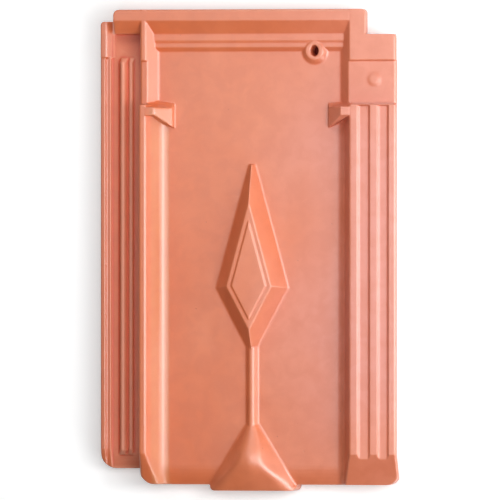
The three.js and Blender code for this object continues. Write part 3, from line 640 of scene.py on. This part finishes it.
    def relief(
        self,
        sheet: NodeSheet,
        place: NodeSocket,
        grain: NodeSocket,
        pits: NodeSocket,
    ) -> NodeSocket:
        """Lays waves, grain and pits over the surface. Heights in its nodes are millimetres.

        Args:
            sheet: The clay's material.
            place: Object coordinates.
            grain: The grain's relief.
            pits: Mask of the pits.

        Returns:
            The bumped normal.
        """
        wave = sheet.math(Sum.MULTIPLY, sheet.noise(place, self.wave_size), self.wave_depth / MM)
        fine = sheet.math(Sum.MULTIPLY, grain, self.relief_depth / MM)
        pit = sheet.math(Sum.MULTIPLY, pits, -self.pit_depth / MM)
        bump = sheet.add("ShaderNodeBump")
        bump.inputs["Distance"].default_value = MM
        sheet.link(sheet.math(Sum.ADD, sheet.math(Sum.ADD, wave, fine), pit), bump.inputs["Height"])
        return bump.outputs["Normal"]


# ---------------------------------------------------------------- the tile


@dataclass(frozen=True)
class EasedZone:
    """A box of the weather face whose forms are softer than the rest."""

    name: str
    across: Band
    along: Band
    bottom: float
    bottom_fade: float
    steps: int

    def share(self, points: np.ndarray, upward: np.ndarray) -> np.ndarray:
        """Tells how far each point of the skin takes part.

        Args:
            points: Places of the points, in metres.
            upward: Whether each point looks up.

        Returns:
            0 outside the box and 1 well inside it.
        """
        across, along, height = points.T
        above = grow(height, self.bottom, self.bottom + self.bottom_fade)
        return self.across.share(across) * self.along.share(along) * above * upward


@dataclass
class PressedTile:
    """The tile's body: the frame's solid with the soft edges that pressing and fettling leave."""

    weld: float = 0.001 * MM
    voxel: float = 0.5 * MM
    soften_steps: int = 3
    soften_share: float = 0.5
    eased_zones: tuple[EasedZone, ...] = (
        EasedZone(
            "roll_foot",
            across=Band(-86 * MM, -71 * MM, 4 * MM),
            along=Band(-220 * MM, 126 * MM, 4 * MM),
            bottom=14 * MM,
            bottom_fade=1 * MM,
            steps=70,
        ),
        EasedZone(
            "roll_tail",
            across=Band(-99 * MM, -72 * MM, 5 * MM),
            along=Band(-204 * MM, -176 * MM, 5 * MM),
            bottom=20 * MM,
            bottom_fade=1.25 * MM,
            steps=80,
        ),
        EasedZone(
            "nose",
            across=Band(-50 * MM, 54 * MM, 8 * MM),
            along=Band(-210 * MM, -155 * MM, 8 * MM),
            bottom=23.5 * MM,
            bottom_fade=2 * MM,
            steps=180,
        ),
        EasedZone(
            "button",
            across=Band(102 * MM, 122 * MM, 3 * MM),
            along=Band(140 * MM, 160 * MM, 3 * MM),
            bottom=20 * MM,
            bottom_fade=0.75 * MM,
            steps=50,
        ),
    )
    ease_levels: int = 10
    edge_blur_steps: int = 20
    edge_height: float = 0.22 * MM  # height over the blurred skin that marks an edge fully
    triangle_budget: int = 190_000
    edge_attribute: str = "worn_and_lit_edge"
    hollow_attribute: str = "hollow"
    clay: FiredClay = FiredClay()

    def build(self, source: bpy.types.Object) -> bpy.types.Object:
        """Makes the finished body from the frame's solid.

        Args:
            source: The frame's own object for the tile, which isn't changed.

        Returns:
            The new body.
        """
        body = self.merged_copy(source)
        self.remesh(body)
        points = self.skin(body, Skin.PLACE)
        upward = self.skin(body, Skin.DIRECTION).T[2] > 0
        for zone in self.eased_zones:
            self.ease(body, zone.name, zone.share(points, upward), zone.steps)
        self.mark_edges(body)
        self.thin(body)
        body.data.materials.clear()
        body.data.materials.append(self.clay.material(self.edge_attribute, self.hollow_attribute))
        return body

    def merged_copy(self, source: bpy.types.Object) -> bpy.types.Object:
        """Copies the solid and merges its loose triangles into one skin.

        Args:
            source: The frame's own object.

        Returns:
            The copy, alone selected and active.
        """
        body = bpy.data.objects.new("fired_tile", source.data.copy())
        bpy.context.scene.collection.objects.link(body)
        bpy.ops.object.select_all(action="DESELECT")
        body.select_set(True)
        bpy.context.view_layer.objects.active = body
        bpy.ops.object.mode_set(mode="EDIT")
        bpy.ops.mesh.select_all(action="SELECT")
        bpy.ops.mesh.remove_doubles(threshold=self.weld)
        bpy.ops.object.mode_set(mode="OBJECT")
        return body

    def remesh(self, body: bpy.types.Object) -> None:
        """Gives the body an even fine skin and rounds its edges.

        Args:
            body: The body, alone selected and active.
        """
        remesh = body.modifiers.new("even_skin", "REMESH")
        remesh.mode = "VOXEL"
        remesh.voxel_size = self.voxel
        remesh.use_smooth_shade = True
        bpy.ops.object.modifier_apply(modifier=remesh.name)
        soften = body.modifiers.new("soft_edges", "SMOOTH")
        soften.factor = self.soften_share
        soften.iterations = self.soften_steps
        bpy.ops.object.modifier_apply(modifier=soften.name)

    def skin(self, body: bpy.types.Object, what: Skin) -> np.ndarray:
        """Reads a vector of every point of the skin.

        Args:
            body: The body.
            what: Which vector.

        Returns:
            One row for each point.
        """
        values = np.empty(len(body.data.vertices) * 3, np.float32)
        body.data.vertices.foreach_get(what.value, values)
        return values.reshape(-1, 3).astype(float)

    def ease(self, body: bpy.types.Object, name: str, share: np.ndarray, steps: int) -> None:
        """Smooths a part of the skin.

        Args:
            body: The body, alone selected and active.
            name: Name of the part.
            share: How far each point takes part, from 0 to 1.
            steps: How often the part is smoothed.
        """
        group = body.vertex_groups.new(name=name)
        level = np.round(share * self.ease_levels)
        for step in range(1, self.ease_levels + 1):
            group.add(np.nonzero(level == step)[0].tolist(), step / self.ease_levels, "REPLACE")
        ease = body.modifiers.new("eased_part", "SMOOTH")
        ease.factor = self.soften_share
        ease.iterations = steps
        ease.vertex_group = name
        bpy.ops.object.modifier_apply(modifier=ease.name)
        body.vertex_groups.clear()

    def mark_edges(self, body: bpy.types.Object) -> None:
        """Stores how far each point stands out of its blurred surroundings or lies in them.

        Args:
            body: The body, which gets an attribute from 0 to 1 for each of the two.
        """
        mesh = body.data
        count = len(mesh.vertices)
        points = self.skin(body, Skin.PLACE)
        pairs = np.empty(len(mesh.edges) * 2, np.int32)
        mesh.edges.foreach_get("vertices", pairs)
        first, second = pairs.reshape(-1, 2).T
        ends = np.concatenate([first, second])
        others = np.concatenate([second, first])
        valence = np.bincount(ends, minlength=count)
        blurred = points.copy()
        for _ in range(self.edge_blur_steps):
            for axis in range(3):
                total = np.bincount(ends, weights=blurred[others, axis], minlength=count)
                blurred[:, axis] = total / valence
        height = ((points - blurred) * self.skin(body, Skin.DIRECTION)).sum(axis=1)
        for name, side in ((self.edge_attribute, 1), (self.hollow_attribute, -1)):
            mark = mesh.attributes.new(name, "FLOAT", "POINT")
            values = np.clip(side * height / self.edge_height, 0, 1)
            mark.data.foreach_set("value", values.astype(np.float32))

    def thin(self, body: bpy.types.Object) -> None:
        """Leaves large faces where the skin is flat.

        Args:
            body: The body, alone selected and active.
        """
        body.data.calc_loop_triangles()
        thin = body.modifiers.new("thin_flats", "DECIMATE")
        thin.ratio = min(1.0, self.triangle_budget / len(body.data.loop_triangles))
        bpy.ops.object.modifier_apply(modifier=thin.name)
        body.data.polygons.foreach_set("use_smooth", [True] * len(body.data.polygons))


# ---------------------------------------------------------------- studio and camera


@dataclass(frozen=True)
class Softbox:
    """A rectangular lamp that looks at the middle of the tile."""

    name: str
    place: tuple[float, float, float]  # from the middle of the tile
    width: float  # along the floor
    height: float
    power: float

    def build(self, target: Vector) -> bpy.types.Object:
        """Hangs the lamp.

        Args:
            target: The point that it looks at.

        Returns:
            The lamp.
        """
        offset = Vector(self.place)
        light = bpy.data.lights.new(self.name, "AREA")
        light.shape = "RECTANGLE"
        light.size = self.width
        light.size_y = self.height
        light.energy = self.power
        lamp = bpy.data.objects.new(self.name, light)
        lamp.location = target + offset
        lamp.rotation_euler = offset.to_track_quat("Z", "Y").to_euler()
        bpy.context.scene.collection.objects.link(lamp)
        return lamp


@dataclass
class Studio:
    """Pale floor, soft lamps and a faint even room light."""

    floor_half: float = 20.0
    floor_shade: float = 0.86
    floor_roughness: float = 0.9
    floor_gloss: float = 0.1
    floor_lift: float = 0.34  # glow that only the camera and reflections see
    # painted shade: a dark spot on the floor, seen down the nail hole
    hole_shade: Colour = (0.35, 0.07, 0.06)  # what shows down the nail hole
    hole_spot: float = 14 * MM  # radius of the dark spot under the nail hole
    shade_start: float = 20 * MM  # how far inside the tile's plan the glow starts to fade
    shade_full: float = 60 * MM  # how far inside it is gone
    room_light: float = 0.03
    lamps: tuple[Softbox, ...] = (
        Softbox("overhead", place=(0, 0, 1.2), width=0.21, height=0.5, power=1.75),
        Softbox("arc_high", place=(0.41, 0, 1.128), width=0.5, height=0.466, power=3.1),
        Softbox("arc_middle", place=(0.803, 0, 0.892), width=0.5, height=0.466, power=6.5),
        Softbox("arc_low", place=(1.079, 0, 0.526), width=0.5, height=0.466, power=1.6),
        Softbox("right_low", place=(1.182, 0, 0.208), width=0.5, height=0.21, power=2.1),
        Softbox("tail_right", place=(0.769, -0.769, 0.507), width=0.5, height=0.4, power=3.35),
        Softbox("head_right", place=(0.769, 0.769, 0.507), width=0.5, height=0.4, power=1.2),
        Softbox("head", place=(0, 0.919, 0.771), width=0.5, height=0.35, power=3.6),
        Softbox("head_left", place=(-0.359, 0.359, 1.088), width=0.5, height=0.4, power=1.0),
    )

    def build(self, low: Vector, high: Vector, hole: Vector) -> None:
        """Sets the floor, the lamps and the room.

        Args:
            low: Lowest corner of the tile's box.
            high: Highest corner of the tile's box.
            hole: Middle of the nail hole.
        """
        self.floor(low, high, hole)
        self.room()
        for lamp in self.lamps:
            lamp.build((low + high) / 2)
            LOG.info("lamp %s: %.1f W", lamp.name, lamp.power)

    def floor(self, low: Vector, high: Vector, hole: Vector) -> None:
        """Lays a wide pale floor that looks white, takes the tile's shadow and has a spot of painted shade
        under the nail hole.

        Args:
            low: Lowest corner of the tile's box.
            high: Highest corner of the tile's box.
            hole: Middle of the nail hole.
        """
        bpy.ops.mesh.primitive_plane_add(size=2 * self.floor_half)
        floor = bpy.context.object
        floor.name = "floor"
        paint = bpy.data.materials.new("floor_paint")
        paint.use_nodes = True
        nodes = paint.node_tree.nodes
        sheet = NodeSheet(paint.node_tree)
        shader = nodes["Principled BSDF"]
        shader.inputs["Roughness"].default_value = self.floor_roughness
        shader.inputs["Specular IOR Level"].default_value = self.floor_gloss
        shader.inputs["Emission Color"].default_value = (*WHITE, 1)
        path = sheet.add("ShaderNodeLightPath")
        seen = sheet.math(Sum.MAXIMUM, path.outputs["Is Camera Ray"], path.outputs["Is Glossy Ray"])
        lift = sheet.math(Sum.MULTIPLY, seen, self.floor_lift)
        axes = sheet.add("ShaderNodeSeparateXYZ")
        sheet.link(sheet.add("ShaderNodeTexCoord").outputs["Object"], axes.inputs["Vector"])
        spot = self.spot(sheet, axes.outputs, hole)
        open_floor = sheet.math(Sum.SUBTRACT, self.open_floor(sheet, axes.outputs, low, high), spot)
        lift = sheet.math(Sum.MAXIMUM, sheet.math(Sum.MULTIPLY, lift, open_floor), 0.0)
        sheet.link(lift, shader.inputs["Emission Strength"])
        sheet.link(sheet.tint((self.floor_shade,) * 3, self.hole_shade, spot), shader.inputs["Base Color"])
        floor.data.materials.append(paint)

    def open_floor(self, sheet: NodeSheet, axes: Sockets, low: Vector, high: Vector) -> NodeSocket:
        """Masks the floor that the tile doesn't cover.

        Args:
            sheet: The floor's material.
            axes: Sockets of the floor's X, Y and Z.
            low: Lowest corner of the tile's box.
            high: Highest corner of the tile's box.

        Returns:
            0 well inside the tile's plan and 1 outside it.
        """
        beyond = []
        for axis, label in enumerate("XY"):
            middle = (low[axis] + high[axis]) / 2
            reach = (high[axis] - low[axis]) / 2
            away = sheet.math(Sum.ABSOLUTE, sheet.math(Sum.SUBTRACT, axes[label], middle))
            beyond.append(sheet.ramp(away, reach - self.shade_full, reach - self.shade_start))
        return sheet.math(Sum.MAXIMUM, *beyond)

    def spot(self, sheet: NodeSheet, axes: Sockets, hole: Vector) -> NodeSocket:
        """Masks the floor that shows down the nail hole, where shade is painted.

        Args:
            sheet: The floor's material.
            axes: Sockets of the floor's X, Y and Z.
            hole: Middle of the nail hole.

        Returns:
            1 under the hole and 0 elsewhere.
        """
        squares = []
        for axis, label in enumerate("XY"):
            away = sheet.math(Sum.SUBTRACT, axes[label], hole[axis])
            squares.append(sheet.math(Sum.MULTIPLY, away, away))
        radius = sheet.math(Sum.ROOT, sheet.math(Sum.ADD, *squares))
        return sheet.math(Sum.BELOW, radius, self.hole_spot)

    def room(self) -> None:
        """Lights the room evenly and shows it white behind the floor."""
        world = bpy.data.worlds.new("room")
        world.use_nodes = True
        bpy.context.scene.world = world
        sheet = NodeSheet(world.node_tree)
        background = world.node_tree.nodes["Background"]
        path = sheet.add("ShaderNodeLightPath")
        strength = sheet.ramp(path.outputs["Is Camera Ray"], 0, 1, self.room_light, 1)
        sheet.link(strength, background.inputs["Strength"])
        background.inputs["Color"].default_value = (*WHITE, 1)


@dataclass
class LongLens:
    """A distant camera that looks down on the tile, tilted to its right."""

    tilt: float = 14.0
    distance: float = 13.0
    view_width: float = 436.15 * MM
    sensor: float = 36.0
    sight: float = 52.0  # how far away the camera still sees
    aim: Vector = Vector((0.05 * MM, 0, 22 * MM))

    def build(self) -> bpy.types.Object:
        """Sets the camera up.

        Returns:
            The camera.
        """
        tilt = math.radians(self.tilt)
        out = Vector((math.sin(tilt), 0, math.cos(tilt)))
        data = bpy.data.cameras.new("long_lens")
        data.sensor_width = self.sensor
        data.lens = self.sensor * self.distance / self.view_width
        data.clip_end = self.sight
        camera = bpy.data.objects.new("long_lens", data)
        camera.location = self.aim + out * self.distance
        camera.rotation_euler = (0, tilt, 0)
        bpy.context.scene.collection.objects.link(camera)
        bpy.context.scene.camera = camera
        return camera


def hole_middle(record: dict) -> Vector:
    """Finds the middle of the nail hole among the record's openings.

    Args:
        record: The frame's record.

    Returns:
        The middle.
    """
    openings = record["physics"]["openings"]
    low, high = next(opening["box_m"] for opening in openings if opening["name"] == HOLE_NAME)
    return (Vector(low) + Vector(high)) / 2


def main() -> None:
    """Builds the tile's looks, the studio and the camera."""
    logging.basicConfig(level=logging.INFO, format="%(name)s: %(message)s")
    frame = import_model()
    body = PressedTile().build(frame["nodes"][TILE_NODE])
    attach(body, TILE_BODY)
    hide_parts(TILE_NODE)
    LOG.info("%s: %d faces", body.name, len(body.data.polygons))
    low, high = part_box(TILE_NODE)
    Studio().build(low, high, hole_middle(frame["record"]))
    LongLens().build()
    bpy.context.scene.view_settings.view_transform = "Standard"


if __name__ == "__main__":
    main()
